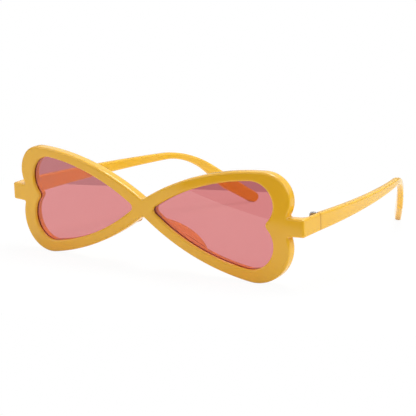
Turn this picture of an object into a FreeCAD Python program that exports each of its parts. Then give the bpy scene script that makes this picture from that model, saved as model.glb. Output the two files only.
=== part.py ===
"""Heart shaped sunglasses: moulded front, two lenses, nose pads, temples and three-knuckle hinges.

The pieces are drawn with the front upright: X to the right, Y back towards the wearer, Z up, and the
foremost point of the bridge at the origin.  At the end every piece is tilted and lifted by one
placement, so that the lower lobes of the hearts and the tips of the temples stand on Z = 0.
"""
import FreeCAD
import Part
import Sketcher

import collections
import enum
import math
import os
import types

Vector = FreeCAD.Vector

SIZES = [
    # Front, seen from the front
    ("half_width", 73.5, "middle of the bridge to the outer face of an end piece"),
    ("front_top", 19.8, "top of the upper lobes above the middle of the bridge"),
    ("front_drop", 25.8, "bottom of the lower lobes below the middle of the bridge"),
    ("end_reach_upper", 5.7, "outer face of an end piece beyond the upper lobe"),
    ("end_reach_lower", 6.3, "outer face of an end piece beyond the lower lobe"),
    ("rim_upper_lobe", 11.4, "outer radius of the upper lobe"),
    ("rim_lower_lobe", 15.1, "outer radius of the lower lobe"),
    ("rim_upper_edge", 104.5, "radius of the long upper edge"),
    ("rim_lower_edge", 113.5, "radius of the long lower edge"),
    ("bridge_top", 3.8, "bottom of the notch above the bridge"),
    ("bridge_drop", 4.0, "top of the notch under the bridge, below the middle"),
    ("notch_radius", 1.8, "round bottom of both bridge notches"),
    ("end_height", 7.4, "height of an end piece and of its temple at the joint"),
    ("end_level", -1.75, "level of the middle of the end pieces and hinges"),
    ("end_junction", 0.6, "inner corner between an end piece and the lobes"),
    # Front, seen from above
    ("front_radius", 440.0, "curve of the front surface"),
    ("front_thickness", 5.4, "thickness of the rims"),
    ("end_inner_corner", 2.0, "inner corner where an end piece turns back"),
    ("joint_depth", 19.0, "rear face of the end pieces behind the bridge"),
    ("front_fillet", 0.9, "rounding of the front edges"),
    ("back_fillet", 1.8, "rounding of the back edges"),
    ("opening_fillet", 0.8, "rounding of the lens openings"),
    # Lens openings and lenses
    ("lens_tip", 5.5, "point of a heart from the middle"),
    ("lens_tip_level", -0.4, "level of the point of a heart"),
    ("tip_radius", 1.8, "rounding of the point"),
    ("rim_top", 4.0, "width of the rim above the opening's upper lobe"),
    ("rim_bottom", 5.4, "width of the rim under the opening's lower lobe"),
    ("rim_side_upper", 7.6, "width of the rim beside the opening's upper lobe"),
    ("rim_side_lower", 7.2, "width of the rim beside the opening's lower lobe"),
    ("upper_lobe", 9.4, "radius of the opening's upper lobe"),
    ("lower_lobe", 10.4, "radius of the opening's lower lobe"),
    ("upper_edge", 92.5, "radius of the opening's upper edge"),
    ("lower_edge", 91.8, "radius of the opening's lower edge"),
    ("cleft_radius", 2.2, "rounding of the cleft between the lobes"),
    ("lens_setback", 1.0, "lens behind the front surface"),
    ("lens_thickness", 1.8, "thickness of a lens"),
    ("groove_depth", 0.8, "depth of the lens groove in the rim"),
    ("lens_edge_gap", 0.1, "room round the edge of a lens in its groove"),
    ("lens_face_gap", 0.05, "room on each face of a lens in its groove"),
    # Nose pads
    ("pad_length", 27.0, "length of a nose pad along the rim"),
    ("pad_depth", 5.6, "how far a pad stands behind the rim"),
    ("pad_thickness", 3.0, "thickness of a pad"),
    ("pad_end_radius", 5.0, "round ends of a pad"),
    ("pad_crown_radius", 20.0, "curve of a pad's free edge"),
    ("pad_place", 16.2, "middle of a pad from the middle of the bridge"),
    ("pad_level", -10.9, "level of the middle of a pad"),
    ("pad_slant", 25.5, "slant of a pad, in degrees, along the rim"),
    ("pad_splay", 8.0, "angle, in degrees, by which a pad opens towards the face"),
    ("pad_root", 3.0, "depth of a pad's root before it is trimmed to the rim"),
    ("pad_fillet", 1.2, "rounding of a pad's free edge"),
    # Temples
    ("joint_gap", 0.1, "gap between an end piece and its temple"),
    ("temple_thickness", 2.8, "thickness of a temple and of the end pieces' sides"),
    ("bend_height", 2.6, "height of a temple at the ear bend"),
    ("tip_height", 5.0, "height of a temple at its tip"),
    ("paddle_drop", 3.9, "lower corner of the hook's paddle below the hook's middle line"),
    ("paddle_length", 17.0, "lower corner of the hook's paddle to the tip"),
    ("paddle_radius", 6.0, "rounding of the paddle's lower corner"),
    ("temple_slope", 2.3, "fall of a temple, in degrees, towards the ear"),
    ("bend_distance", 97.0, "joint to the corner of the ear bend"),
    ("hook_length", 42.2, "corner of the ear bend to the tip"),
    ("hook_angle", 42.0, "fall of the hook, in degrees"),
    ("bend_radius", 44.8, "outer radius of the ear bend"),
    ("inner_bend_radius", 30.0, "inner radius of the ear bend"),
    ("bow_radius", 345.0, "inward bow of a temple, seen from above"),
    ("bow_length", 78.0, "length of the bow behind the joint"),
    ("tuck_radius", 116.0, "tighter curve where the hook tucks in"),
    ("tuck_angle", 31.5, "angle, in degrees, at which the hook points inwards"),
    ("temple_fillet", 0.9, "rounding of the temples and of the end pieces' sides"),
    # Hinges
    ("hinge_inset", 0.6, "hinge axis inside a temple's inner face"),
    ("knuckle_radius", 1.6, "outer radius of the knuckles"),
    ("hinge_height", 6.0, "height of the three knuckles together"),
    ("middle_knuckle", 1.9, "height of the temple's knuckle"),
    ("knuckle_gap", 0.1, "gap above and below the middle knuckle"),
    ("swing_gap", 0.1, "gap between a knuckle and the other leaf"),
    ("recess_gap", 0.25, "gap between the knuckles and the recess in the plastic"),
    ("tongue_cover", 0.5, "plastic between a leaf's tongue and the inner face"),
    ("tongue_thickness", 0.9, "thickness of a leaf's tongue"),
    ("tongue_height", 4.6, "height of a leaf's tongue"),
    ("tongue_length", 7.0, "length of a leaf's tongue from the hinge axis"),
    ("sink_gap", 0.05, "gap round a tongue in its slot"),
    ("screw_radius", 0.7, "radius of the hinge screw"),
    ("screw_gap", 0.03, "running gap round the screw"),
    ("head_radius", 1.25, "radius of the screw's head"),
    ("head_height", 0.6, "height of the screw's head"),
    ("slot_width", 0.35, "width of the screw's slot"),
    ("slot_depth", 0.3, "depth of the screw's slot"),
    ("point_chamfer", 0.2, "chamfer at the screw's end"),
    ("tool_margin", 5.0, "how far a cutting shape runs past what it cuts"),
]

NEAR = 1e-3
LEVEL_TOLERANCE = 0.02
TILT_LIMIT = 20.0
TILT_TOLERANCE = 1e-6
FLUSH = "0"

UPPER_SIDE = "(sizes.half_width - sizes.end_reach_upper)"
LOWER_SIDE = "(sizes.half_width - sizes.end_reach_lower)"
LENS_UPPER_SIDE = f"({UPPER_SIDE} - sizes.rim_side_upper)"
LENS_LOWER_SIDE = f"({LOWER_SIDE} - sizes.rim_side_lower)"
LENS_TOP = "(sizes.front_top - sizes.rim_top)"
LENS_DROP = "(sizes.front_drop - sizes.rim_bottom)"
INNER_FACE = "(sizes.half_width - sizes.temple_thickness)"
AXIS_X = f"({INNER_FACE} - sizes.hinge_inset)"
AXIS_Y = "sizes.joint_depth"
TONGUE_X = f"({INNER_FACE} + sizes.tongue_cover)"
HINGE_TOP = "sizes.end_level + sizes.hinge_height / 2"

Edge = collections.namedtuple("Edge", "index first last")


class Spot(enum.IntEnum):
    """Points of a sketched edge."""

    START = 1
    END = 2
    CENTRE = 3


class Datum(enum.IntEnum):
    """A sketch's own origin and upright axis."""

    ORIGIN = -1
    UPRIGHT = -2


START, END, CENTRE = Spot


doc = FreeCAD.newDocument("heart_sunglasses")
sheet = doc.addObject("Spreadsheet::Sheet", "sizes")
for row, (alias, amount, meaning) in enumerate(SIZES, start=1):
    sheet.set(f"A{row}", meaning)
    sheet.set(f"B{row}", str(amount))
    sheet.setAlias(f"B{row}", alias)
doc.recompute()
size = types.SimpleNamespace(**{alias: float(sheet.get(alias)) for alias, _, _ in SIZES})


def value(expression):
    """Number that an expression of the sheet's cells gives."""
    return float(sheet.evalExpression(expression))


def meeting(a, from_a, b, from_b, side):
    """Point at given distances from a and b; side +1 is left of the way from a to b."""
    across = b - a
    gap = across.Length
    along = (gap ** 2 + from_a ** 2 - from_b ** 2) / (2 * gap)
    away = math.sqrt(from_a ** 2 - along ** 2)
    unit = across / gap
    return a + unit * along + Vector(-unit.y, unit.x) * (side * away)


def towards(a, b, distance):
    """Point at a distance from a in the direction of b."""
    return a + (b - a).normalize() * distance


def common_tangent(a, radius_a, b, radius_b, side):
    """End points of the outer tangent of two circles; side +1 is left of the way from a to b."""
    unit = (b - a).normalize()
    sine = (radius_a - radius_b) / a.distanceToPoint(b)
    normal = unit * sine + Vector(-unit.y, unit.x) * (side * math.sqrt(1 - sine ** 2))
    return a + normal * radius_a, b + normal * radius_b


def corner_arc(a, corner, b, radius):
    """Centre and end points of the arc that rounds a corner between two lines."""
    first = (a - corner).normalize()
    last = (b - corner).normalize()
    half = math.acos(first.dot(last)) / 2
    centre = corner + (first + last).normalize() * (radius / math.sin(half))
    reach = radius / math.tan(half)
    return centre, corner + first * reach, corner + last * reach


def crossing(a, b, c, d):
    """Point where the lines a-b and c-d cross."""
    way = b - a
    other = d - c
    share = ((c.x - a.x) * other.y - (c.y - a.y) * other.x) / (way.x * other.y - way.y * other.x)
    return a + way * share


class Outline:
    """Sketch of a body, drawn edge by edge and tied to the sheet's sizes."""

    def __init__(self, body, name, plane):
        self.sketch = body.newObject("Sketcher::SketchObject", name)
        support = [feature for feature in body.Origin.OriginFeatures if feature.Role == plane]
        self.sketch.AttachmentSupport = [(support[0], "")]
        self.sketch.MapMode = "FlatFace"

    def line(self, a, b, construction=False):
        """Straight edge from a to b."""
        return Edge(self.sketch.addGeometry(Part.LineSegment(a, b), construction), START, END)

    def arc(self, centre, a, b, clockwise):
        """Round edge from a to b about a centre."""
        first, last = (b, a) if clockwise else (a, b)
        start = math.atan2(first.y - centre.y, first.x - centre.x)
        stop = math.atan2(last.y - centre.y, last.x - centre.x)
        if stop <= start:
            stop += 2 * math.pi
        circle = Part.Circle(centre, Vector(0, 0, 1), centre.distanceToPoint(a))
        index = self.sketch.addGeometry(Part.ArcOfCircle(circle, start, stop), False)
        return Edge(index, END, START) if clockwise else Edge(index, START, END)

    def circle(self, centre, radius):
        """Full circle."""
        return self.sketch.addGeometry(Part.Circle(centre, Vector(0, 0, 1), radius), False)

    def tie(self, kind, *items):
        """Constraint without a size."""
        self.sketch.addConstraint(Sketcher.Constraint(kind, *items))

    def size(self, kind, *items_and_expression):
        """Constraint whose size follows an expression of the sheet's cells."""
        *items, expression = items_and_expression
        amount = value(expression)
        if kind == "Angle":
            amount = math.radians(amount)
        index = self.sketch.addConstraint(Sketcher.Constraint(kind, *items, amount))
        self.sketch.setExpression(f"Constraints[{index}]", expression)

    def smooth(self, *edges):
        """Tangent joints along a run of edges."""
        for one, two in zip(edges, edges[1:]):
            self.tie("Tangent", one.index, one.last, two.index, two.first)

    def joined(self, *edges):
        """Plain joints along a run of edges."""
        for one, two in zip(edges, edges[1:]):
            self.tie("Coincident", one.index, one.last, two.index, two.first)

    def radius(self, edge, expression):
        """Radius of an arc."""
        self.size("Radius", edge.index, expression)

    def place(self, geometry, point, across, up):
        """Both coordinates of a point from the sketch's origin."""
        self.across(geometry, point, across)
        self.up(geometry, point, up)

    def across(self, geometry, point, expression):
        """Distance of a point to the right of the sketch's origin."""
        self.size("DistanceX", Datum.ORIGIN, START, geometry, point, expression)

    def up(self, geometry, point, expression):
        """Distance of a point above the sketch's origin."""
        self.size("DistanceY", Datum.ORIGIN, START, geometry, point, expression)


def new_body(name):
    """Empty body."""
    return doc.addObject("PartDesign::Body", name)


def extrude(body, name, sketch, expression, kind="PartDesign::Pad"):
    """Pad or pocket, as far on each side of its sketch."""
    feature = body.newObject(kind, name)
    feature.Profile = sketch
    feature.SideType = "Symmetric"
    feature.setExpression("Length", expression)
    doc.recompute()
    return feature


def boolean(kind, name, base, tool):
    """Part boolean of two objects."""
    feature = doc.addObject(kind, name)
    feature.Base = base
    feature.Tool = tool
    doc.recompute()
    return feature


def mirrored(source, name):
    """Left-hand copy of a right-hand piece."""
    feature = doc.addObject("Part::Mirroring", name)
    feature.Source = source
    feature.Normal = Vector(1, 0, 0)
    doc.recompute()
    return feature


def rounded(base, name, radius_of):
    """Fillet of every edge for which radius_of gives a radius."""
    feature = doc.addObject("Part::Fillet", name)
    feature.Base = base
    radii = [radius_of(edge) for edge in base.Shape.Edges]
    feature.Edges = [(number, radius, radius) for number, radius in enumerate(radii, start=1) if radius]
    doc.recompute()
    return feature


def points_of(edge, count=7):
    """Points along an edge, its ends included."""
    return edge.discretize(count)


def curve_depth(x, radius):
    """How far a curve concentric with the front lies behind the bridge at a given x."""
    return size.front_radius - math.sqrt(radius ** 2 - x ** 2)


def draw_front_outline():
    """The front from the front: two hearts joined point to point, and the end pieces."""
    body = new_body("front_outline")
    drawing = Outline(body, "front_outline_sketch", "XZ_Plane")
    top_centre = Vector(0, size.bridge_top + size.notch_radius)
    low_centre = Vector(0, -size.bridge_drop - size.notch_radius)
    end_top = size.end_level + size.end_height / 2
    end_low = size.end_level - size.end_height / 2
    overrun = size.half_width + size.tool_margin
    upper = Vector(value(UPPER_SIDE) - size.rim_upper_lobe, size.front_top - size.rim_upper_lobe)
    lower = Vector(value(LOWER_SIDE) - size.rim_lower_lobe, size.rim_lower_lobe - size.front_drop)
    upper_edge = meeting(top_centre, size.rim_upper_edge + size.notch_radius,
                         upper, size.rim_upper_edge - size.rim_upper_lobe, -1)
    lower_edge = meeting(low_centre, size.rim_lower_edge + size.notch_radius,
                         lower, size.rim_lower_edge - size.rim_lower_lobe, 1)
    upper_rise = end_top + size.end_junction - upper.y
    upper_reach = math.sqrt((size.rim_upper_lobe + size.end_junction) ** 2 - upper_rise ** 2)
    upper_corner = Vector(upper.x + upper_reach, end_top + size.end_junction)
    lower_rise = end_low - size.end_junction - lower.y
    lower_reach = math.sqrt((size.rim_lower_lobe + size.end_junction) ** 2 - lower_rise ** 2)
    lower_corner = Vector(lower.x + lower_reach, end_low - size.end_junction)
    notch_top = towards(top_centre, upper_edge, size.notch_radius)
    notch_low = towards(low_centre, lower_edge, size.notch_radius)
    path = [
        (upper_edge, notch_top, towards(upper_edge, upper, size.rim_upper_edge), True),
        (upper, towards(upper_edge, upper, size.rim_upper_edge),
         towards(upper, upper_corner, size.rim_upper_lobe), True),
        (upper_corner, towards(upper, upper_corner, size.rim_upper_lobe),
         Vector(upper_corner.x, end_top), False),
        (None, Vector(upper_corner.x, end_top), Vector(overrun, end_top), None),
        (None, Vector(overrun, end_top), Vector(overrun, end_low), None),
        (None, Vector(overrun, end_low), Vector(lower_corner.x, end_low), None),
        (lower_corner, Vector(lower_corner.x, end_low),
         towards(lower, lower_corner, size.rim_lower_lobe), False),
        (lower, towards(lower, lower_corner, size.rim_lower_lobe),
         towards(lower_edge, lower, size.rim_lower_edge), True),
        (lower_edge, towards(lower_edge, lower, size.rim_lower_edge), notch_low, True),
    ]

    def side(sign):
        """Edges of one half, from the upper notch to the lower one."""
        def at(point):
            return Vector(sign * point.x, point.y)
        edges = []
        for centre, a, b, clockwise in path:
            if centre is None:
                edges.append(drawing.line(at(a), at(b)))
            else:
                edges.append(drawing.arc(at(centre), at(a), at(b), clockwise == (sign > 0)))
        return edges

    halves = {sign: side(sign) for sign in (1, -1)}
    notches = [drawing.arc(top_centre, Vector(-notch_top.x, notch_top.y), notch_top, False),
               drawing.arc(low_centre, notch_low, Vector(-notch_low.x, notch_low.y), False)]
    for sign, edges in halves.items():
        top_edge, top_lobe, top_turn, over, tail, under, low_turn, low_lobe, low_edge = edges
        top_notch, low_notch = notches
        if sign < 0:
            top_notch = Edge(top_notch.index, top_notch.last, top_notch.first)
            low_notch = Edge(low_notch.index, low_notch.last, low_notch.first)
        drawing.smooth(top_notch, top_edge, top_lobe, top_turn, over)
        drawing.joined(over, tail, under)
        drawing.smooth(under, low_turn, low_lobe, low_edge, low_notch)
        drawing.tie("Horizontal", over.index)
        drawing.tie("Vertical", tail.index)
        drawing.tie("Horizontal", under.index)
        drawing.radius(top_edge, "sizes.rim_upper_edge")
        drawing.radius(top_lobe, "sizes.rim_upper_lobe")
        drawing.radius(top_turn, "sizes.end_junction")
        drawing.radius(low_turn, "sizes.end_junction")
        drawing.radius(low_lobe, "sizes.rim_lower_lobe")
        drawing.radius(low_edge, "sizes.rim_lower_edge")
        drawing.place(top_lobe.index, CENTRE, f"{sign} * ({UPPER_SIDE} - sizes.rim_upper_lobe)",
                      "sizes.front_top - sizes.rim_upper_lobe")
        drawing.place(low_lobe.index, CENTRE, f"{sign} * ({LOWER_SIDE} - sizes.rim_lower_lobe)",
                      "sizes.rim_lower_lobe - sizes.front_drop")
        drawing.place(tail.index, START, f"{sign} * (sizes.half_width + sizes.tool_margin)",
                      "sizes.end_level + sizes.end_height / 2")
        drawing.up(tail.index, END, "sizes.end_level - sizes.end_height / 2")
    for notch, level in zip(notches, ("sizes.bridge_top + sizes.notch_radius",
                                      "-sizes.bridge_drop - sizes.notch_radius")):
        drawing.radius(notch, "sizes.notch_radius")
        drawing.tie("PointOnObject", notch.index, CENTRE, Datum.UPRIGHT)
        drawing.up(notch.index, CENTRE, level)
    extrude(body, "front_outline_pad", drawing.sketch, "2 * (sizes.joint_depth + sizes.tool_margin)")
    return body


def draw_front_plan():
    """The front from above: a curved plate whose ends turn back to the temples."""
    body = new_body("front_plan")
    drawing = Outline(body, "front_plan_sketch", "XY_Plane")
    centre = Vector(0, size.front_radius)
    back_radius = size.front_radius - size.front_thickness
    inner = size.half_width - size.temple_thickness
    corner_x = inner - size.end_inner_corner
    corner = Vector(corner_x, curve_depth(corner_x, back_radius - size.end_inner_corner))
    front_end = Vector(size.half_width, curve_depth(size.half_width, size.front_radius))
    rear_outer = Vector(size.half_width, size.joint_depth)
    rear_inner = Vector(inner, size.joint_depth)
    inner_end = Vector(inner, corner.y)
    back_end = towards(centre, corner, back_radius)

    def left(point):
        return Vector(-point.x, point.y)

    front = drawing.arc(centre, left(front_end), front_end, False)
    back = drawing.arc(centre, back_end, left(back_end), True)
    right = [drawing.line(front_end, rear_outer), drawing.line(rear_outer, rear_inner),
             drawing.line(rear_inner, inner_end), drawing.arc(corner, inner_end, back_end, True)]
    far = [drawing.line(left(front_end), left(rear_outer)),
           drawing.line(left(rear_outer), left(rear_inner)),
           drawing.line(left(rear_inner), left(inner_end)),
           drawing.arc(left(corner), left(inner_end), left(back_end), False)]
    back_turned = Edge(back.index, back.last, back.first)
    front_turned = Edge(front.index, front.last, front.first)
    for sign, edges, front_run, back_run in ((1, right, front, back),
                                             (-1, far, front_turned, back_turned)):
        outer, rear, inside, turn = edges
        drawing.joined(front_run, outer, rear, inside)
        drawing.smooth(inside, turn, back_run)
        drawing.tie("Vertical", outer.index)
        drawing.tie("Horizontal", rear.index)
        drawing.tie("Vertical", inside.index)
        drawing.radius(turn, "sizes.end_inner_corner")
        drawing.place(rear.index, START, f"{sign} * sizes.half_width", "sizes.joint_depth")
        drawing.across(rear.index, END, f"{sign} * {INNER_FACE}")
    drawing.radius(front, "sizes.front_radius")
    drawing.radius(back, "sizes.front_radius - sizes.front_thickness")
    drawing.tie("PointOnObject", front.index, CENTRE, Datum.UPRIGHT)
    drawing.up(front.index, CENTRE, "sizes.front_radius")
    drawing.tie("Coincident", back.index, CENTRE, front.index, CENTRE)
    extrude(body, "front_plan_pad", drawing.sketch, "2 * (sizes.front_top + sizes.front_drop)")
    return body


def draw_heart(name, growth):
    """Right-hand heart, offset outwards by growth, drawn as six arcs and extruded through the front."""
    body = new_body(name)
    drawing = Outline(body, f"{name}_sketch", "XZ_Plane")
    grow = value(growth)
    tip = Vector(size.lens_tip + size.tip_radius, size.lens_tip_level)
    upper = Vector(value(LENS_UPPER_SIDE) - size.upper_lobe, value(LENS_TOP) - size.upper_lobe)
    lower = Vector(value(LENS_LOWER_SIDE) - size.lower_lobe, size.lower_lobe - value(LENS_DROP))
    above = meeting(tip, size.upper_edge - size.tip_radius, upper, size.upper_edge - size.upper_lobe, -1)
    below = meeting(tip, size.lower_edge - size.tip_radius, lower, size.lower_edge - size.lower_lobe, 1)
    cleft = meeting(upper, size.upper_lobe + size.cleft_radius, lower, size.lower_lobe + size.cleft_radius, 1)
    tip_top = towards(above, tip, size.upper_edge + grow)
    tip_low = towards(below, tip, size.lower_edge + grow)
    lobe_top = towards(above, upper, size.upper_edge + grow)
    lobe_low = towards(below, lower, size.lower_edge + grow)
    cleft_top = towards(upper, cleft, size.upper_lobe + grow)
    cleft_low = towards(lower, cleft, size.lower_lobe + grow)
    point = drawing.arc(tip, tip_low, tip_top, True)
    long_top = drawing.arc(above, tip_top, lobe_top, True)
    lobe_up = drawing.arc(upper, lobe_top, cleft_top, True)
    notch = drawing.arc(cleft, cleft_top, cleft_low, False)
    lobe_down = drawing.arc(lower, cleft_low, lobe_low, True)
    long_low = drawing.arc(below, lobe_low, tip_low, True)
    drawing.smooth(point, long_top, lobe_up, notch, lobe_down, long_low, point)
    drawing.radius(point, f"sizes.tip_radius + {growth}")
    drawing.radius(long_top, f"sizes.upper_edge + {growth}")
    drawing.radius(lobe_up, f"sizes.upper_lobe + {growth}")
    drawing.radius(notch, f"sizes.cleft_radius - ({growth})")
    drawing.radius(lobe_down, f"sizes.lower_lobe + {growth}")
    drawing.radius(long_low, f"sizes.lower_edge + {growth}")
    drawing.place(point.index, CENTRE, "sizes.lens_tip + sizes.tip_radius", "sizes.lens_tip_level")
    drawing.place(lobe_up.index, CENTRE, f"{LENS_UPPER_SIDE} - sizes.upper_lobe",
                  f"{LENS_TOP} - sizes.upper_lobe")
    drawing.place(lobe_down.index, CENTRE, f"{LENS_LOWER_SIDE} - sizes.lower_lobe",
                  f"sizes.lower_lobe - {LENS_DROP}")
    extrude(body, f"{name}_pad", drawing.sketch, "2 * (sizes.joint_depth + sizes.tool_margin)")
    return body


def draw_curved_sheet(name, front_setback, thickness):
    """Curved sheet concentric with the front, from above, as wide as the front."""
    body = new_body(name)
    drawing = Outline(body, f"{name}_sketch", "XY_Plane")
    centre = Vector(0, size.front_radius)
    outer = size.front_radius - value(front_setback)
    inner = outer - value(thickness)
    ends = [Vector(sign * size.half_width, curve_depth(size.half_width, radius))
            for radius in (outer, inner) for sign in (-1, 1)]
    front = drawing.arc(centre, ends[0], ends[1], False)
    right = drawing.line(ends[1], ends[3])
    back = drawing.arc(centre, ends[3], ends[2], True)
    far = drawing.line(ends[2], ends[0])
    drawing.joined(front, right, back, far, front)
    drawing.tie("Vertical", right.index)
    drawing.tie("Vertical", far.index)
    drawing.radius(front, f"sizes.front_radius - ({front_setback})")
    drawing.radius(back, f"sizes.front_radius - ({front_setback}) - ({thickness})")
    drawing.tie("PointOnObject", front.index, CENTRE, Datum.UPRIGHT)
    drawing.up(front.index, CENTRE, "sizes.front_radius")
    drawing.tie("Coincident", back.index, CENTRE, front.index, CENTRE)
    drawing.across(right.index, START, "sizes.half_width")
    drawing.across(far.index, START, "-sizes.half_width")
    extrude(body, f"{name}_pad", drawing.sketch, "2 * (sizes.front_top + sizes.front_drop)")
    return body


def box(name, lengths, corner):
    """Part box whose lengths and corner follow the sheet."""
    feature = doc.addObject("Part::Box", name)
    for side, expression in zip(("Length", "Width", "Height"), lengths):
        feature.setExpression(side, expression)
    for axis, expression in zip("xyz", corner):
        feature.setExpression(f"Placement.Base.{axis}", expression)
    doc.recompute()
    return feature


def cylinder(name, radius, height, foot):
    """Upright Part cylinder whose sizes and foot follow the sheet."""
    feature = doc.addObject("Part::Cylinder", name)
    feature.setExpression("Radius", radius)
    feature.setExpression("Height", height)
    for axis, expression in zip("xyz", foot):
        feature.setExpression(f"Placement.Base.{axis}", expression)
    doc.recompute()
    return feature


def hinge_seats():
    """Round recess for the knuckles, and one slot for both leaves' tongues."""
    recess = cylinder("knuckle_recess", "sizes.knuckle_radius + sizes.recess_gap",
                      "sizes.end_height + 2 * sizes.tool_margin",
                      (AXIS_X, AXIS_Y, "sizes.end_level - sizes.end_height / 2 - sizes.tool_margin"))
    slot = box("tongue_slot",
               ("sizes.tongue_thickness + 2 * sizes.sink_gap", "2 * (sizes.tongue_length + sizes.sink_gap)",
                "sizes.tongue_height + 2 * sizes.sink_gap"),
               (f"{TONGUE_X} - sizes.sink_gap", f"{AXIS_Y} - sizes.tongue_length - sizes.sink_gap",
                "sizes.end_level - sizes.tongue_height / 2 - sizes.sink_gap"))
    return boolean("Part::Fuse", "hinge_seat", recess, slot)


def build_front(outline, plan, seat):
    """Front with its lens openings, rounded edges, lens grooves and hinge seats."""
    blank = boolean("Part::Common", "front_blank", outline, plan)
    opening = draw_heart("lens_opening", FLUSH)
    pierced = boolean("Part::Cut", "front_pierced_right", blank, opening)
    pierced = boolean("Part::Cut", "front_pierced", pierced, mirrored(opening, "lens_opening_left"))
    opening_faces = opening.Shape.Faces

    def on_curve(points, radius):
        return all(abs(math.hypot(point.x, point.y - size.front_radius) - radius) < NEAR for point in points)

    def in_opening(points):
        spots = [Part.Vertex(Vector(abs(point.x), point.y, point.z)) for point in points]
        return all(min(spot.distToShape(face)[0] for face in opening_faces) < NEAR for spot in spots)

    def radius_of(edge):
        points = points_of(edge)
        upright = all(math.hypot(point.x - points[0].x, point.y - points[0].y) < NEAR for point in points)
        at_rear = all(abs(point.y - size.joint_depth) < NEAR for point in points)
        on_front = on_curve(points, size.front_radius)
        on_back = on_curve(points, size.front_radius - size.front_thickness)
        on_side = all(abs(abs(point.x) - size.half_width) < NEAR for point in points)
        if at_rear or (upright and not on_front):
            return 0.0
        if (on_front or on_back) and in_opening(points):
            return size.opening_fillet
        if on_front:
            return size.front_fillet
        if on_back:
            return size.back_fillet
        return size.temple_fillet if on_side else 0.0

    soft = rounded(pierced, "front_rounded", radius_of)
    groove_heart = draw_heart("groove_heart", "sizes.groove_depth")
    groove_sheet = draw_curved_sheet("groove_sheet", "sizes.lens_setback - sizes.lens_face_gap",
                                     "sizes.lens_thickness + 2 * sizes.lens_face_gap")
    groove = boolean("Part::Common", "lens_groove", groove_heart, groove_sheet)
    cut = boolean("Part::Cut", "front_grooved_right", soft, groove)
    cut = boolean("Part::Cut", "front_grooved", cut, mirrored(groove, "lens_groove_left"))
    cut = boolean("Part::Cut", "front_seated_right", cut, seat)
    return boolean("Part::Cut", "frame_front", cut, mirrored(seat, "hinge_seat_left"))


def build_lens():
    """Right-hand lens: a curved sheet cut to the heart of its groove."""
    heart = draw_heart("lens_heart", "sizes.groove_depth - sizes.lens_edge_gap")
    curved = draw_curved_sheet("lens_sheet", "sizes.lens_setback", "sizes.lens_thickness")
    return boolean("Part::Common", "lens_right", heart, curved)


def build_nose_pad(plan):
    """Right-hand nose pad: a rounded fin along the rim, trimmed to the back of the front."""
    body = new_body("pad_fin")
    drawing = Outline(body, "pad_sketch", "XY_Plane")
    half = size.pad_length / 2
    crown = Vector(0, size.pad_depth - size.pad_crown_radius)
    reach = half - size.pad_end_radius
    rise = crown.y + math.sqrt((size.pad_crown_radius - size.pad_end_radius) ** 2 - reach ** 2)
    ends = {sign: Vector(sign * reach, rise) for sign in (1, -1)}
    sides = {sign: Vector(sign * half, rise) for sign in (1, -1)}
    feet = {sign: Vector(sign * half, -size.pad_root) for sign in (1, -1)}
    tops = {sign: towards(crown, ends[sign], size.pad_crown_radius) for sign in (1, -1)}
    near = drawing.line(feet[-1], sides[-1])
    near_end = drawing.arc(ends[-1], sides[-1], tops[-1], True)
    over = drawing.arc(crown, tops[-1], tops[1], True)
    far_end = drawing.arc(ends[1], tops[1], sides[1], True)
    far = drawing.line(sides[1], feet[1])
    root = drawing.line(feet[1], feet[-1])
    drawing.smooth(near, near_end, over, far_end, far)
    drawing.joined(far, root, near)
    drawing.tie("Vertical", near.index)
    drawing.tie("Vertical", far.index)
    drawing.tie("Horizontal", root.index)
    drawing.radius(near_end, "sizes.pad_end_radius")
    drawing.radius(far_end, "sizes.pad_end_radius")
    drawing.radius(over, "sizes.pad_crown_radius")
    drawing.tie("PointOnObject", over.index, CENTRE, Datum.UPRIGHT)
    drawing.up(over.index, CENTRE, "sizes.pad_depth - sizes.pad_crown_radius")
    drawing.place(root.index, START, "sizes.pad_length / 2", "-sizes.pad_root")
    drawing.across(root.index, END, "-sizes.pad_length / 2")
    along = FreeCAD.Rotation(Vector(0, 1, 0), size.pad_slant)
    splay = FreeCAD.Rotation(along.multVec(Vector(1, 0, 0)), size.pad_splay)
    foot = curve_depth(size.pad_place, size.front_radius - size.front_thickness)
    extrude(body, "pad_fin_pad", drawing.sketch, "sizes.pad_thickness")
    body.Placement = FreeCAD.Placement(Vector(size.pad_place, foot, size.pad_level), splay.multiply(along))
    doc.recompute()
    root_face = body.Placement.multVec(Vector(0, -size.pad_root, 0))
    back = body.Placement.Rotation.multVec(Vector(0, 1, 0))

    def radius_of(edge):
        points = points_of(edge)
        heights = [(point - root_face).dot(back) for point in points]
        if max(heights) < NEAR:
            return 0.0
        across = body.Placement.Rotation.multVec(Vector(0, 0, 1))
        offsets = [abs((point - root_face).dot(across)) for point in points]
        return size.pad_fillet if min(offsets) > size.pad_thickness / 2 - NEAR else 0.0

    soft = rounded(body, "pad_rounded", radius_of)
    return boolean("Part::Cut", "nose_pad_right", soft, plan)


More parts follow.
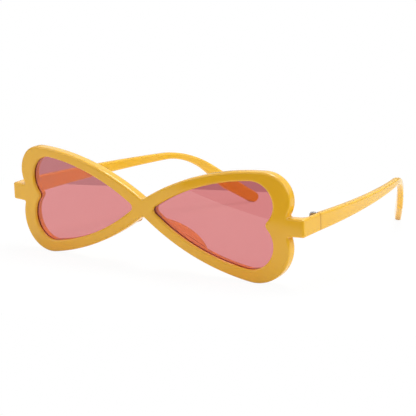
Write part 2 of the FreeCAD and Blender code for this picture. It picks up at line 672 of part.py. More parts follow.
def draw_temple_side():
    """Right-hand temple from the side: a tapering arm, the ear bend and a hook that ends in a paddle."""
    body = new_body("temple_side")
    drawing = Outline(body, "temple_side_sketch", "YZ_Plane")
    start = Vector(size.joint_depth + size.joint_gap, size.end_level)
    fall = math.radians(size.temple_slope)
    hook_fall = math.radians(size.hook_angle)
    onward = Vector(math.cos(hook_fall), -math.sin(hook_fall))
    below = Vector(-math.sin(hook_fall), -math.cos(hook_fall))
    corner = start + Vector(math.cos(fall), -math.sin(fall)) * size.bend_distance
    tip_radius = size.tip_height / 2
    tip = corner + onward * (size.hook_length - tip_radius)
    paddle_foot = tip - onward * (size.paddle_length - tip_radius)
    paddle = paddle_foot + below * size.paddle_drop
    bend_half = size.bend_height / 2
    butt_top = start + Vector(0, size.end_height / 2)
    butt_low = start - Vector(0, size.end_height / 2)
    arm = drawing.line(start, corner, True)
    hook = drawing.line(corner, tip, True)
    drop = drawing.line(paddle_foot, paddle, True)
    butt = drawing.line(butt_low, butt_top)

    arm_end = common_tangent(butt_top, 0.0, corner, bend_half, 1)[1]
    back_start, back_end = common_tangent(corner, bend_half, tip, tip_radius, 1)
    knee = crossing(butt_top, arm_end, back_start, back_end)
    centre, first, last = corner_arc(butt_top, knee, back_end, size.bend_radius)
    over = drawing.line(butt_top, first)
    over_bend = drawing.arc(centre, first, last, True)
    back = drawing.line(last, back_end)

    arm_end = common_tangent(butt_low, 0.0, corner, bend_half, -1)[1]
    flare_start = common_tangent(corner, bend_half, paddle, 0.0, -1)[0]
    heel_end = common_tangent(paddle, 0.0, tip, tip_radius, -1)[1]
    knee = crossing(butt_low, arm_end, flare_start, paddle)
    centre, first, last = corner_arc(butt_low, knee, paddle, size.inner_bend_radius)
    round_centre, flare_end, heel_start = corner_arc(knee, paddle, heel_end, size.paddle_radius)
    under = drawing.line(butt_low, first)
    under_bend = drawing.arc(centre, first, last, True)
    flare = drawing.line(last, flare_end)
    shoulder = drawing.arc(round_centre, flare_end, heel_start, False)
    heel = drawing.line(heel_start, heel_end)
    round_tip = drawing.arc(tip, back_end, heel_end, True)

    drawing.joined(arm, hook)
    drawing.joined(butt, over)
    drawing.smooth(over, over_bend, back, round_tip)
    drawing.tie("Coincident", butt.index, START, under.index, START)
    drawing.smooth(under, under_bend, flare, shoulder, heel,
                   Edge(round_tip.index, round_tip.last, round_tip.first))
    drawing.tie("Vertical", butt.index)
    drawing.tie("Symmetric", butt.index, START, butt.index, END, arm.index, START)
    drawing.size("Distance", butt.index, "sizes.end_height")
    drawing.place(arm.index, START, "sizes.joint_depth + sizes.joint_gap", "sizes.end_level")
    drawing.size("Distance", arm.index, "sizes.bend_distance")
    drawing.size("Angle", arm.index, "-sizes.temple_slope")
    drawing.size("Distance", hook.index, "sizes.hook_length - sizes.tip_height / 2")
    drawing.size("Angle", hook.index, "-sizes.hook_angle")
    drawing.tie("Coincident", round_tip.index, CENTRE, hook.index, END)
    drawing.radius(round_tip, "sizes.tip_height / 2")
    drawing.radius(over_bend, "sizes.bend_radius")
    drawing.radius(under_bend, "sizes.inner_bend_radius")
    for edge in (over, back, under, flare):
        drawing.size("Distance", arm.index, END, edge.index, "sizes.bend_height / 2")
    drawing.tie("PointOnObject", drop.index, START, hook.index)
    drawing.tie("Perpendicular", drop.index, hook.index)
    drawing.size("Distance", drop.index, "sizes.paddle_drop")
    drawing.size("Distance", drop.index, START, hook.index, END, "sizes.paddle_length - sizes.tip_height / 2")
    drawing.tie("PointOnObject", drop.index, END, flare.index)
    drawing.tie("PointOnObject", drop.index, END, heel.index)
    drawing.radius(shoulder, "sizes.paddle_radius")
    extrude(body, "temple_side_pad", drawing.sketch, "2 * (sizes.half_width + sizes.tool_margin)")
    return body


def draw_temple_plan():
    """Right-hand temple from above: a bowed strip that tucks in behind the ear."""
    body = new_body("temple_plan")
    drawing = Outline(body, "temple_plan_sketch", "XY_Plane")
    joint = size.joint_depth + size.joint_gap
    bow = Vector(size.half_width - size.bow_radius, joint)
    bow_turn = math.asin(size.bow_length / size.bow_radius)
    tuck_turn = math.radians(size.tuck_angle)
    reach = size.bend_distance + size.hook_length + size.tool_margin - size.bow_length

    def radial(angle):
        return Vector(math.cos(angle), math.sin(angle))

    tuck = bow + radial(bow_turn) * (size.bow_radius - size.tuck_radius)
    onward = Vector(-math.sin(tuck_turn), math.cos(tuck_turn)) * reach
    strips = []
    for inward in (0.0, size.temple_thickness):
        bow_start = bow + Vector(size.bow_radius - inward, 0)
        bow_end = bow + radial(bow_turn) * (size.bow_radius - inward)
        tuck_end = tuck + radial(tuck_turn) * (size.tuck_radius - inward)
        strips.append((bow_start, bow_end, tuck_end, tuck_end + onward))
    outer_start, outer_bow, outer_tuck, outer_end = strips[0]
    inner_start, inner_bow, inner_tuck, inner_end = strips[1]
    front = drawing.line(inner_start, outer_start)
    bow_out = drawing.arc(bow, outer_start, outer_bow, False)
    tuck_out = drawing.arc(tuck, outer_bow, outer_tuck, False)
    run_out = drawing.line(outer_tuck, outer_end)
    end = drawing.line(outer_end, inner_end)
    run_in = drawing.line(inner_end, inner_tuck)
    tuck_in = drawing.arc(tuck, inner_tuck, inner_bow, True)
    bow_in = drawing.arc(bow, inner_bow, inner_start, True)
    drawing.joined(front, bow_out)
    drawing.smooth(bow_out, tuck_out, run_out)
    drawing.joined(run_out, end, run_in)
    drawing.smooth(run_in, tuck_in, bow_in)
    drawing.joined(bow_in, front)
    drawing.tie("Horizontal", front.index)
    drawing.place(front.index, END, "sizes.half_width", "sizes.joint_depth + sizes.joint_gap")
    drawing.size("Distance", front.index, "sizes.temple_thickness")
    drawing.place(bow_out.index, CENTRE, "sizes.half_width - sizes.bow_radius",
                  "sizes.joint_depth + sizes.joint_gap")
    drawing.size("DistanceY", bow_out.index, START, bow_out.index, END, "sizes.bow_length")
    drawing.radius(tuck_out, "sizes.tuck_radius")
    drawing.size("Angle", run_out.index, "90 + sizes.tuck_angle")
    drawing.size("Distance", run_out.index,
                 "sizes.bend_distance + sizes.hook_length + sizes.tool_margin - sizes.bow_length")
    drawing.tie("Perpendicular", run_out.index, end.index)
    drawing.tie("Parallel", run_out.index, run_in.index)
    drawing.tie("Coincident", bow_in.index, CENTRE, bow_out.index, CENTRE)
    drawing.tie("Coincident", tuck_in.index, CENTRE, tuck_out.index, CENTRE)
    extrude(body, "temple_plan_pad", drawing.sketch,
            "2 * (sizes.hook_length + sizes.bend_distance + sizes.tool_margin)")
    return body


def build_temple(seat):
    """Right-hand temple with rounded edges and its hinge seat."""
    blank = boolean("Part::Common", "temple_blank", draw_temple_side(), draw_temple_plan())
    joint = size.joint_depth + size.joint_gap

    def radius_of(edge):
        at_joint = all(abs(point.y - joint) < NEAR for point in points_of(edge))
        return 0.0 if at_joint else size.temple_fillet

    return boolean("Part::Cut", "temple_right", rounded(blank, "temple_rounded", radius_of), seat)


def sketch_at_hinge(body, name, level="sizes.end_level"):
    """Sketch square to the hinge axis."""
    drawing = Outline(body, name, "XY_Plane")
    drawing.sketch.setExpression("AttachmentOffset.Base.z", level)
    return drawing


def axis_circle(body, name, radius, level="sizes.end_level"):
    """Sketch of a circle about the hinge axis."""
    drawing = sketch_at_hinge(body, name, level)
    ring = drawing.circle(Vector(value(AXIS_X), value(AXIS_Y)), value(radius))
    drawing.size("Radius", ring, radius)
    drawing.place(ring, CENTRE, AXIS_X, AXIS_Y)
    return drawing.sketch


def rectangle(drawing, left, right, low, high):
    """Upright rectangle between four expressions."""
    turns = ((left, low), (right, low), (right, high), (left, high))
    corners = [Vector(value(x), value(y)) for x, y in turns]
    edges = [drawing.line(one, two) for one, two in zip(corners, corners[1:] + corners[:1])]
    drawing.joined(*edges, edges[0])
    for edge, kind in zip(edges, ("Horizontal", "Vertical", "Horizontal", "Vertical")):
        drawing.tie(kind, edge.index)
    drawing.place(edges[0].index, START, left, low)
    drawing.place(edges[2].index, START, right, high)
    return drawing.sketch


def tongue_sketch(body, name, low, high):
    """Sketch of a leaf's tongue between two depths."""
    far_side = f"{TONGUE_X} + sizes.tongue_thickness"
    return rectangle(sketch_at_hinge(body, name), TONGUE_X, far_side, low, high)


def build_front_leaf():
    """Right-hand leaf of the end piece: a tongue with an upper and a lower knuckle."""
    body = new_body("hinge_front_right")
    knuckles = axis_circle(body, "front_knuckle_sketch", "sizes.knuckle_radius")
    extrude(body, "front_knuckles", knuckles, "sizes.hinge_height")
    tongue = tongue_sketch(body, "front_tongue_sketch", f"{AXIS_Y} - sizes.tongue_length", AXIS_Y)
    extrude(body, "front_tongue", tongue, "sizes.tongue_height")
    gap = axis_circle(body, "front_gap_sketch", "sizes.knuckle_radius + sizes.swing_gap")
    extrude(body, "front_gap", gap, "sizes.middle_knuckle + 2 * sizes.knuckle_gap", "PartDesign::Pocket")
    bore = axis_circle(body, "front_bore_sketch", "sizes.screw_radius + sizes.screw_gap")
    extrude(body, "front_bore", bore, "sizes.hinge_height + sizes.tool_margin", "PartDesign::Pocket")
    return body


def build_temple_leaf():
    """Right-hand leaf of the temple: a tongue with the middle knuckle."""
    body = new_body("hinge_temple_right")
    start = f"{AXIS_Y} + sizes.joint_gap"
    tongue = tongue_sketch(body, "temple_tongue_sketch", start, f"{AXIS_Y} + sizes.tongue_length")
    extrude(body, "temple_tongue", tongue, "sizes.tongue_height")
    relief = axis_circle(body, "temple_relief_sketch", "sizes.knuckle_radius + sizes.swing_gap")
    extrude(body, "temple_relief", relief, "sizes.tongue_height + sizes.tool_margin", "PartDesign::Pocket")
    web = tongue_sketch(body, "temple_web_sketch", start, f"{AXIS_Y} + sizes.tongue_length / 2")
    extrude(body, "temple_web", web, "sizes.middle_knuckle")
    knuckle = axis_circle(body, "temple_knuckle_sketch", "sizes.knuckle_radius")
    extrude(body, "temple_knuckle", knuckle, "sizes.middle_knuckle")
    bore = axis_circle(body, "temple_bore_sketch", "sizes.screw_radius + sizes.screw_gap")
    extrude(body, "temple_bore", bore, "sizes.hinge_height + sizes.tool_margin", "PartDesign::Pocket")
    return body


def build_screw():
    """Right-hand hinge screw: head on the upper knuckle, shank through all three, slot across the head."""
    body = new_body("hinge_screw_right")
    head_level = f"{HINGE_TOP} + sizes.head_height / 2"
    head = axis_circle(body, "screw_head_sketch", "sizes.head_radius", head_level)
    extrude(body, "screw_head", head, "sizes.head_height")
    stem = axis_circle(body, "screw_shank_sketch", "sizes.screw_radius")
    shank = extrude(body, "screw_shank", stem, "sizes.hinge_height")
    foot = size.end_level - size.hinge_height / 2
    rims = [f"Edge{number}" for number, edge in enumerate(shank.Shape.Edges, start=1)
            if all(abs(spot.z - foot) < NEAR for spot in points_of(edge))]
    point = body.newObject("PartDesign::Chamfer", "screw_point")
    point.Base = (shank, rims)
    point.setExpression("Size", "sizes.point_chamfer")
    doc.recompute()
    drawing = sketch_at_hinge(body, "screw_slot_sketch", f"{HINGE_TOP} + sizes.head_height")
    slot = rectangle(drawing, f"{AXIS_X} - sizes.slot_width / 2", f"{AXIS_X} + sizes.slot_width / 2",
                     f"{AXIS_Y} - sizes.head_radius - sizes.tool_margin",
                     f"{AXIS_Y} + sizes.head_radius + sizes.tool_margin")
    extrude(body, "screw_slot", slot, "2 * sizes.slot_depth", "PartDesign::Pocket")
    return body


def standing_placement(front, temple):
    """Tilt and lift that stand the lower lobes and the temple tips on Z = 0, centred in Y."""
    front_points = front.Shape.tessellate(LEVEL_TOLERANCE)[0]
    temple_points = temple.Shape.tessellate(LEVEL_TOLERANCE)[0]

    def level(points, tilt):
        return min(point.y * math.sin(tilt) + point.z * math.cos(tilt) for point in points)

    low, high = 0.0, math.radians(TILT_LIMIT)
    while high - low > math.radians(TILT_TOLERANCE):
        tilt = (low + high) / 2
        if level(front_points, tilt) > level(temple_points, tilt):
            low = tilt
        else:
            high = tilt
    spread = [point.y * math.cos(tilt) - point.z * math.sin(tilt) for point in front_points + temple_points]
    lift = Vector(0, -(min(spread) + max(spread)) / 2, -level(front_points, tilt))
    return FreeCAD.Placement(lift, FreeCAD.Rotation(Vector(1, 0, 0), math.degrees(tilt)))


def check_features():
    """Stop if any feature of the document failed."""
    failed = [item.Name for item in doc.Objects if {"Invalid", "Error"} & set(item.State)]
    assert not failed, f"failed: {failed}"


outline_body = draw_front_outline()
plan_body = draw_front_plan()
hinge_seat = hinge_seats()
frame_front = build_front(outline_body, plan_body, hinge_seat)
right_pieces = {
    "lens": build_lens(),
    "nose_pad": build_nose_pad(plan_body),
    "temple": build_temple(hinge_seat),
    "hinge_front": build_front_leaf(),
    "hinge_temple": build_temple_leaf(),
    "hinge_screw": build_screw(),
}
check_features()
standing = standing_placement(frame_front, right_pieces["temple"])
nodes = {"frame_front": frame_front}
for piece, feature in right_pieces.items():
    nodes[f"{piece}_right"] = feature
for feature in list(nodes.values()):
    feature.Placement = standing
doc.recompute()
for piece, feature in right_pieces.items():
    nodes[f"{piece}_left"] = mirrored(feature, f"{piece}_left")
doc.recompute()

check_features()
for name, feature in nodes.items():
    feature.Label = name
    shape = feature.Shape
    assert not shape.isNull() and shape.isValid(), f"{name}: no valid shape"
    assert len(shape.Solids) == 1, f"{name}: {len(shape.Solids)} solids"

os.makedirs("parts", exist_ok=True)
for name, feature in nodes.items():
    feature.Shape.exportStep(f"parts/{name}.step")
axis_point = standing.multVec(Vector(value(AXIS_X), value(AXIS_Y), size.end_level))
axis_way = standing.Rotation.multVec(Vector(0, 0, 1))
lift = ", ".join(f"{part:.3f}" for part in standing.Base)
print(f"tilt {math.degrees(standing.Rotation.Angle):.3f} lift {lift}")
print("right hinge axis at", ", ".join(f"{part:.4f}" for part in axis_point))
print("right hinge axis along", ", ".join(f"{part:.6f}" for part in axis_way))
for name, feature in nodes.items():
    bound = feature.Shape.BoundBox
    print(f"{name:20s} {feature.Shape.Volume:9.1f} mm3  "
          f"X {bound.XMin:7.1f} {bound.XMax:7.1f}  Y {bound.YMin:7.1f} {bound.YMax:7.1f}  "
          f"Z {bound.ZMin:6.1f} {bound.ZMax:6.1f}")
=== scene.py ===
"""Dresses the heart shaped sunglasses and sets up the white studio they are seen in.

The solids of the frame are already true to the object, so every piece keeps its CAD shape and gets the
finish of the real one: moulded yellow acetate, pink polycarbonate, nickel silver hinges and steel screws.
"""
from __future__ import annotations

import logging
import math
from dataclasses import dataclass
from enum import Enum

import bpy
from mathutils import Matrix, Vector


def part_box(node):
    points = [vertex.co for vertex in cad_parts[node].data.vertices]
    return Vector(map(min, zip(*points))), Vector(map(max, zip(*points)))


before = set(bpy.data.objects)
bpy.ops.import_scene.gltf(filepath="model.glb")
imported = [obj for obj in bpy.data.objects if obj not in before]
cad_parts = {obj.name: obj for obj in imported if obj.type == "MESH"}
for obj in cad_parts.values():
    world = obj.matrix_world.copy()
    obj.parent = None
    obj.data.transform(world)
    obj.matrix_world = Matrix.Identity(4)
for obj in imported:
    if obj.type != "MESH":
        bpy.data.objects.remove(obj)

LOG = logging.getLogger("heart_sunglasses")
MM = 0.001
WHITE = "#FFFFFF"

# Most values of a noise texture lie in this span, which is stretched over the whole range of a finish
NOISE_SPAN = (0.3, 0.7)

# The plane where the end pieces meet the temples: its normal, and how far along that it lies, in metres
JOINT_NORMAL = (0.0, 0.998023, 0.062845)
JOINT_PLACE = -0.053928

Socket = bpy.types.NodeSocket
Node = bpy.types.Node
Tree = bpy.types.NodeTree


class Side(Enum):
    """The two halves of the glasses, as seen in the photograph."""

    LEFT = "left"
    RIGHT = "right"


def linear(hex_colour: str) -> tuple[float, float, float, float]:
    """Turn an sRGB hex colour to linear.

    Args:
        hex_colour: Six hex digits, red first, with or without a leading hash.

    Returns:
        Linear red, green, blue and an alpha of one.
    """
    digits = hex_colour.lstrip("#")
    parts = [int(digits[place:place + 2], 16) / 255 for place in (0, 2, 4)]
    lit = [part / 12.92 if part <= 0.04045 else ((part + 0.055) / 1.055) ** 2.4 for part in parts]
    return lit[0], lit[1], lit[2], 1.0


def per_metre(size_mm: float) -> float:
    """Texture scale whose features are the given size in millimetres."""
    return 1.0 / (size_mm * MM)


def add_node(
    tree: Tree,
    kind: str,
    inputs: dict[str | int, object] | None = None,
    **settings: object,
) -> Node:
    """Add a node with its settings and links.

    Args:
        tree: Node tree that gets the node.
        kind: Blender's name of the node type.
        inputs: Values, or sockets to link from, by the input's name or number.
        settings: Attributes of the node itself.

    Returns:
        The new node.
    """
    node = tree.nodes.new(kind)
    for name, setting in settings.items():
        setattr(node, name, setting)
    for name, source in (inputs or {}).items():
        if isinstance(source, Socket):
            tree.links.new(source, node.inputs[name])
        else:
            node.inputs[name].default_value = source
    return node


def new_material(name: str) -> tuple[bpy.types.Material, Tree, Node]:
    """Make an empty node material.

    Args:
        name: Name of the material.

    Returns:
        The material, its node tree and its output node.
    """
    material = bpy.data.materials.new(name)
    material.use_nodes = True
    material.node_tree.nodes.clear()
    return material, material.node_tree, add_node(material.node_tree, "ShaderNodeOutputMaterial")


@dataclass(frozen=True)
class MouldedAcetate:
    """Tumble-polished cellulose acetate: an even, deep colour under a clear, slightly wavy gloss.

    The eye sees a faint clouding of the dye, a gloss that is a little uneven from the tumbling, long soft
    ripples in whatever the surface mirrors, and a line of painted shade where the end pieces meet the
    temples.
    """

    colour: str = "#EEB726"
    clouded: str = "#EAAF1F"
    cloud_mm: float = 9.0
    cloud_detail: float = 3.0
    polish_mm: float = 2.5
    polish_detail: float = 4.0
    gloss: tuple[float, float] = (0.09, 0.16)
    ripple_mm: float = 7.0
    ripple_detail: float = 1.0
    ripple_height_mm: float = 0.006
    # Colour of the painted shade along the joint between end pieces and temples, and that band's width and
    # strength
    joint_shade_colour: str = "#C98C08"
    edge_mm: float = 0.9
    edge_shade: float = 0.85
    ior: float = 1.54

    def material(self) -> bpy.types.Material:
        """Build the material.

        Returns:
            The material.
        """
        material, tree, output = new_material("moulded_yellow_acetate")
        place = add_node(tree, "ShaderNodeTexCoord").outputs["Object"]
        cloud = add_node(tree, "ShaderNodeTexNoise", {
            "Vector": place, "Scale": per_metre(self.cloud_mm), "Detail": self.cloud_detail})
        dye = add_node(tree, "ShaderNodeMix", {
            "Factor": cloud.outputs["Fac"], "A": linear(self.colour), "B": linear(self.clouded)},
            data_type="RGBA")
        polish = add_node(tree, "ShaderNodeTexNoise", {
            "Vector": place, "Scale": per_metre(self.polish_mm), "Detail": self.polish_detail})
        gloss = add_node(tree, "ShaderNodeMapRange", {
            "Value": polish.outputs["Fac"], "From Min": NOISE_SPAN[0], "From Max": NOISE_SPAN[1],
            "To Min": self.gloss[0], "To Max": self.gloss[1]})
        ripple = add_node(tree, "ShaderNodeTexNoise", {
            "Vector": place, "Scale": per_metre(self.ripple_mm), "Detail": self.ripple_detail})
        bump = add_node(tree, "ShaderNodeBump", {
            "Height": ripple.outputs["Fac"], "Strength": 1.0, "Distance": self.ripple_height_mm * MM})
        along = add_node(tree, "ShaderNodeVectorMath", {0: place, 1: JOINT_NORMAL}, operation="DOT_PRODUCT")
        past = add_node(tree, "ShaderNodeMath", {
            0: along.outputs["Value"], 1: JOINT_PLACE}, operation="SUBTRACT")
        apart = add_node(tree, "ShaderNodeMath", {0: past.outputs["Value"]}, operation="ABSOLUTE")
        # Painted shade: the colour deepens within edge_mm of the plane where the end pieces meet the temples,
        # standing in for shade in that joint
        edge = add_node(tree, "ShaderNodeMapRange", {
            "Value": apart.outputs["Value"], "From Min": 0.0, "From Max": self.edge_mm * MM,
            "To Min": self.edge_shade, "To Max": 0.0}, interpolation_type="SMOOTHSTEP")
        joint_shaded = add_node(tree, "ShaderNodeMix", {
            "Factor": edge.outputs["Result"], "A": dye.outputs["Result"], "B": linear(self.joint_shade_colour)},
            data_type="RGBA")
        shader = add_node(tree, "ShaderNodeBsdfPrincipled", {
            "Base Color": joint_shaded.outputs["Result"], "Roughness": gloss.outputs["Result"], "IOR": self.ior,
            "Normal": bump.outputs["Normal"]})
        tree.links.new(shader.outputs["BSDF"], output.inputs["Surface"])
        return material


@dataclass(frozen=True)
class TintedPolycarbonate:
    """Injection moulded polycarbonate, dyed pink in the mass: clear, even and mirror smooth.

    The eye sees the background through it in pink, with only a trace of uneven dye, and the white of the
    studio mirrored on its face. Its shadow is pink, as light passes through it.
    """

    colour: str = "#DA898A"
    deep: str = "#D88587"
    dye_mm: float = 25.0
    dye_detail: float = 1.0
    roughness: float = 0.015
    ior: float = 1.5

    def material(self) -> bpy.types.Material:
        """Build the material.

        Returns:
            The material.
        """
        material, tree, output = new_material("pink_polycarbonate")
        place = add_node(tree, "ShaderNodeTexCoord").outputs["Object"]
        dye = add_node(tree, "ShaderNodeTexNoise", {
            "Vector": place, "Scale": per_metre(self.dye_mm), "Detail": self.dye_detail})
        tint = add_node(tree, "ShaderNodeMix", {
            "Factor": dye.outputs["Fac"], "A": linear(self.colour), "B": linear(self.deep)},
            data_type="RGBA")
        shader = add_node(tree, "ShaderNodeBsdfPrincipled", {
            "Base Color": tint.outputs["Result"], "Roughness": self.roughness, "IOR": self.ior,
            "Transmission Weight": 1.0})
        shade = add_node(tree, "ShaderNodeBsdfTransparent", {"Color": tint.outputs["Result"]})
        path = add_node(tree, "ShaderNodeLightPath")
        seen = add_node(tree, "ShaderNodeMixShader", {
            0: path.outputs["Is Shadow Ray"], 1: shader.outputs["BSDF"], 2: shade.outputs["BSDF"]})
        tree.links.new(seen.outputs["Shader"], output.inputs["Surface"])
        return material


@dataclass(frozen=True)
class BrushedMetal:
    """Rolled and brushed metal: fine parallel lines that smear what it mirrors.

    The lines are drawn about three times coarser than the real 0.05 mm ones, so that they show at all.
    """

    name: str
    colour: str
    worn: str
    roughness: tuple[float, float]
    line_mm: float = 0.15
    line_length_mm: float = 4.0
    line_detail: float = 2.0
    line_height_mm: float = 0.004
    line_strength: float = 0.6

    def material(self) -> bpy.types.Material:
        """Build the material.

        Returns:
            The material.
        """
        material, tree, output = new_material(self.name)
        place = add_node(tree, "ShaderNodeTexCoord").outputs["Object"]
        across = per_metre(self.line_mm)
        along = per_metre(self.line_length_mm)
        drawn = add_node(tree, "ShaderNodeMapping", {"Vector": place, "Scale": (across, along, across)})
        lines = add_node(tree, "ShaderNodeTexNoise", {
            "Vector": drawn.outputs["Vector"], "Scale": 1.0, "Detail": self.line_detail})
        tone = add_node(tree, "ShaderNodeMix", {
            "Factor": lines.outputs["Fac"], "A": linear(self.colour), "B": linear(self.worn)},
            data_type="RGBA")
        rough = add_node(tree, "ShaderNodeMapRange", {
            "Value": lines.outputs["Fac"], "From Min": NOISE_SPAN[0], "From Max": NOISE_SPAN[1],
            "To Min": self.roughness[0], "To Max": self.roughness[1]})
        bump = add_node(tree, "ShaderNodeBump", {
            "Height": lines.outputs["Fac"], "Strength": self.line_strength,
            "Distance": self.line_height_mm * MM})
        shader = add_node(tree, "ShaderNodeBsdfPrincipled", {
            "Base Color": tone.outputs["Result"], "Metallic": 1.0, "Roughness": rough.outputs["Result"],
            "Normal": bump.outputs["Normal"]})
        tree.links.new(shader.outputs["BSDF"], output.inputs["Surface"])
        return material


NICKEL_SILVER = BrushedMetal("brushed_nickel_silver", "#B7B2A6", "#948E82", (0.26, 0.42))
SCREW_STEEL = BrushedMetal("turned_steel", "#C4C4C6", "#A3A3A6", (0.18, 0.30))


def dress(node_name: str, material: bpy.types.Material) -> None:
    """Give a CAD node its finish.

    Args:
        node_name: Name of the node.
        material: Material of the whole node.
    """
    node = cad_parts[node_name]
    node.data.materials.clear()
    node.data.materials.append(material)
    low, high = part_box(node_name)
    LOG.info("%s: %s, %.1f x %.1f x %.1f mm", node_name, material.name, *((high - low) / MM))


@dataclass
class Front:
    """The moulded front with the two nose pads behind it."""

    def build(self, acetate: bpy.types.Material) -> None:
        """Dress the front and its pads.

        Args:
            acetate: Finish of all three pieces.
        """
        dress("frame_front", acetate)
        for side in Side:
            dress(f"nose_pad_{side.value}", acetate)


@dataclass
class Lenses:
    """The pair of tinted lenses in the grooves of the rims."""

    finish: TintedPolycarbonate = TintedPolycarbonate()

    def build(self) -> None:
        """Dress both lenses."""
        tint = self.finish.material()
        for side in Side:
            dress(f"lens_{side.value}", tint)


@dataclass
class Temple:
    """One folding temple with its half of the hinge, and the half and screw that stay on the front."""

    side: Side

    def build(
        self,
        acetate: bpy.types.Material,
        leaf: bpy.types.Material,
        screw: bpy.types.Material,
    ) -> None:
        """Dress the temple and its hinge.

        Args:
            acetate: Finish of the temple.
            leaf: Finish of both hinge leaves.
            screw: Finish of the hinge screw.
        """
        dress(f"temple_{self.side.value}", acetate)
        dress(f"hinge_temple_{self.side.value}", leaf)
        dress(f"hinge_front_{self.side.value}", leaf)
        dress(f"hinge_screw_{self.side.value}", screw)


@dataclass(frozen=True)
class StudioSurface:
    """A plain surface round the object, white to the camera, with its own tone to glass and gloss.

    Attributes:
        name: Name of the object and its material.
        tone: Colour that is seen through the lenses.
        mirrored: Colour that gloss and metal mirror.
        own_light: Share of those colours that doesn't depend on the lamps, so that the rest keeps the shadow.
        camera_light: The same share of white for the camera.
    """

    name: str
    tone: str
    mirrored: str
    own_light: float
    camera_light: float

    def material(self) -> bpy.types.Material:
        """Build the material.

        Returns:
            The material.
        """
        material, tree, output = new_material(self.name)
        path = add_node(tree, "ShaderNodeLightPath")
        paper = add_node(tree, "ShaderNodeBsdfDiffuse", {"Color": linear(self.tone)})
        shown = paper.outputs["BSDF"]
        # Light through the lenses counts as glossy too, so its test comes after the one for gloss
        for ray, colour, share in (("Is Glossy Ray", self.mirrored, self.own_light),
                                   ("Is Transmission Ray", self.tone, self.own_light),
                                   ("Is Camera Ray", WHITE, self.camera_light)):
            light = add_node(tree, "ShaderNodeEmission", {"Color": linear(colour), "Strength": 1.0})
            part = add_node(tree, "ShaderNodeMath", {0: path.outputs[ray], 1: share}, operation="MULTIPLY")
            mixed = add_node(tree, "ShaderNodeMixShader", {
                0: part.outputs["Value"], 1: shown, 2: light.outputs["Emission"]})
            shown = mixed.outputs["Shader"]
        tree.links.new(shown, output.inputs["Surface"])
        return material

    def lay(self, width: float, depth: float, middle: Vector, turn: float) -> None:
        """Lay the surface as a level rectangle.

        Args:
            width: Extent across, in metres.
            depth: Extent front to back, in metres.
            middle: Middle of the rectangle.
            turn: Turn about the vertical, in radians.
        """
        bpy.ops.object.select_all(action="DESELECT")
        bpy.ops.mesh.primitive_plane_add(size=1.0, location=middle, rotation=(0.0, 0.0, turn))
        surface = bpy.context.object
        surface.name = self.name
        surface.scale = (width, depth, 1.0)
        bpy.ops.object.transform_apply(location=True, rotation=True, scale=True)
        surface.data.materials.append(self.material())


@dataclass(frozen=True)
class SoftLamp:
    """A square soft lamp.

    Attributes:
        name: Name of the lamp.
        place: Where it hangs, in metres.
        aim: What it points at, in metres.
        size: Its width, in metres.
        power: Its power, in watts.
        colour: Colour of its light.
    """

    name: str
    place: tuple[float, float, float]
    aim: tuple[float, float, float]
    size: float
    power: float
    colour: str = WHITE

    def hang(self) -> None:
        """Hang the lamp."""
        place = Vector(self.place)
        bpy.ops.object.select_all(action="DESELECT")
        bpy.ops.object.light_add(type="AREA", location=place)
        lamp = bpy.context.object
        lamp.name = self.name
        lamp.rotation_euler = (Vector(self.aim) - place).to_track_quat("-Z", "Y").to_euler()
        lamp.data.size = self.size
        lamp.data.energy = self.power
        lamp.data.color = linear(self.colour)[:3]


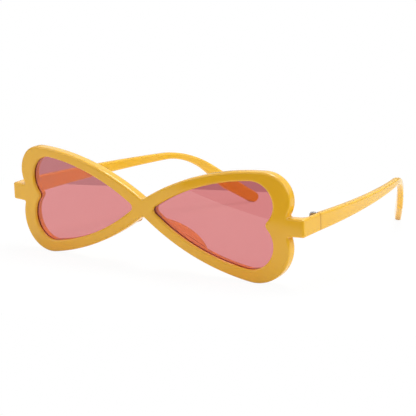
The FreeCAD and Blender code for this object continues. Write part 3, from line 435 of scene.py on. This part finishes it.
@dataclass
class Studio:
    """White paper on a bench, a soft roof light, two soft side lights and the photograph's camera.

    Attributes:
        lamps: The roof light and the two side lights.
        paper: The paper that the glasses stand on.
        shaded_near_bench: The bench in front of the paper, which gloss mirrors as a painted shade of dark
            grey.
        far_bench: The bench under and behind the paper.
        camera_place: Where the camera stands, in metres.
        camera_aim: What it looks at, in metres.
        sensor_width: Width of its sensor, in millimetres.
        focal_length: Focal length of its lens, in millimetres.
        edge_turn: Turn of the paper's edges about the vertical, in radians.
        paper_front: Where the paper's front edge crosses the middle line, in metres.
        paper_size: Width and depth of the paper, in metres.
        bench_size: Width of the bench, twice the depth of each half, in metres.
        layer: How far the bench lies below the paper, in metres.
        sky_strength: Strength of the sky as a lamp.
        wall_height: Where gloss sees the wall end and the white roof begin, as sines of the angle upwards.
        wall_strength: Brightness of that wall.
    """

    lamps: tuple[SoftLamp, ...] = (
        SoftLamp("roof_light", place=(0.0, 0.3, 1.05), aim=(0.0, 0.0, 0.0), size=0.5, power=7.5),
        SoftLamp("front_light", place=(-1.0, -0.9, 0.6), aim=(0.0, -0.05, 0.02), size=0.8, power=2.4,
                 colour="#FFF6EA"),
        SoftLamp("side_light", place=(1.1, 0.2, 0.6), aim=(0.05, 0.0, 0.02), size=0.8, power=5.4,
                 colour="#F2FFFF"),
    )
    paper: StudioSurface = StudioSurface(
        "white_paper", tone="#F6F5F3", mirrored=WHITE, own_light=0.5, camera_light=0.94)
    # Painted shade: gloss and metal mirror this bench as a fixed dark grey whatever the lamps, while the
    # camera sees it white
    shaded_near_bench: StudioSurface = StudioSurface(
        "shaded_front_bench", tone="#D6CCD0", mirrored="#4A4846", own_light=1.0, camera_light=1.0)
    far_bench: StudioSurface = StudioSurface(
        "back_bench", tone="#D6CCD0", mirrored=WHITE, own_light=1.0, camera_light=1.0)
    camera_place: tuple[float, float, float] = (0.41525, -0.64119, 0.16561)
    camera_aim: tuple[float, float, float] = (0.03291, -0.0750, 0.02926)
    sensor_width: float = 36.0
    focal_length: float = 151.52
    edge_turn: float = math.radians(22.0)
    paper_front: float = -0.161
    paper_size: tuple[float, float] = (1.6, 0.258)
    bench_size: float = 6.0
    layer: float = 0.0005
    sky_strength: float = 0.55
    wall_height: tuple[float, float] = (0.1, 0.3)
    wall_strength: float = 0.3

    def lay_surfaces(self) -> None:
        """Lay the paper and both halves of the bench."""
        inward = Vector((-math.sin(self.edge_turn), math.cos(self.edge_turn), 0.0))
        edge = Vector((0.0, self.paper_front, 0.0))
        width, depth = self.paper_size
        self.paper.lay(width, depth, edge + inward * (depth / 2), self.edge_turn)
        lower = Vector((0.0, 0.0, -self.layer))
        half = self.bench_size / 2
        self.shaded_near_bench.lay(self.bench_size, half, edge - inward * (half / 2) + lower, self.edge_turn)
        self.far_bench.lay(self.bench_size, half, edge + inward * (half / 2) + lower, self.edge_turn)

    def light(self) -> None:
        """Set the sky and the soft lamps.

        The sky is white to the camera and through the lenses, a wall under a white roof in gloss, and a soft
        lamp above the horizon for everything else.
        """
        world = bpy.data.worlds.new("studio_sky")
        bpy.context.scene.world = world
        world.use_nodes = True
        tree = world.node_tree
        tree.nodes.clear()
        path = add_node(tree, "ShaderNodeLightPath")
        direction = add_node(tree, "ShaderNodeTexCoord").outputs["Generated"]
        up = add_node(tree, "ShaderNodeSeparateXYZ", {"Vector": direction}).outputs["Z"]
        roof = add_node(tree, "ShaderNodeMapRange", {
            "Value": up, "From Min": self.wall_height[0], "From Max": self.wall_height[1],
            "To Min": self.wall_strength, "To Max": 1.0})
        above = add_node(tree, "ShaderNodeMath", {0: up, 1: 0.0}, operation="GREATER_THAN")
        soft = add_node(tree, "ShaderNodeMath", {
            0: above.outputs["Value"], 1: self.sky_strength}, operation="MULTIPLY")
        glossy = add_node(tree, "ShaderNodeMix", {
            "Factor": path.outputs["Is Glossy Ray"], "A": soft.outputs["Value"],
            "B": roof.outputs["Result"]}, data_type="FLOAT")
        seen = add_node(tree, "ShaderNodeMath", {
            0: path.outputs["Is Camera Ray"], 1: path.outputs["Is Transmission Ray"]}, operation="MAXIMUM")
        strength = add_node(tree, "ShaderNodeMix", {
            "Factor": seen.outputs["Value"], "A": glossy.outputs["Result"], "B": 1.0}, data_type="FLOAT")
        sky = add_node(tree, "ShaderNodeBackground", {
            "Color": linear(WHITE), "Strength": strength.outputs["Result"]})
        add_node(tree, "ShaderNodeOutputWorld", {"Surface": sky.outputs["Background"]})
        for lamp in self.lamps:
            lamp.hang()

    def camera(self) -> None:
        """Stand the camera where the photograph was taken."""
        place = Vector(self.camera_place)
        aim = Vector(self.camera_aim)
        bpy.ops.object.select_all(action="DESELECT")
        bpy.ops.object.camera_add(location=place)
        camera = bpy.context.object
        camera.name = "photograph_camera"
        camera.rotation_euler = (aim - place).to_track_quat("-Z", "Y").to_euler()
        camera.data.sensor_width = self.sensor_width
        camera.data.lens = self.focal_length
        bpy.context.scene.camera = camera


def main() -> None:
    """Dress the glasses piece by piece and set up the studio."""
    logging.basicConfig(level=logging.INFO, format="%(name)s: %(message)s")
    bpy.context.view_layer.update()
    acetate = MouldedAcetate().material()
    leaf = NICKEL_SILVER.material()
    screw = SCREW_STEEL.material()
    Front().build(acetate)
    Lenses().build()
    for side in Side:
        Temple(side).build(acetate, leaf, screw)
    studio = Studio()
    studio.lay_surfaces()
    studio.light()
    studio.camera()
    bpy.context.scene.view_settings.view_transform = "Standard"


if __name__ == "__main__":
    main()
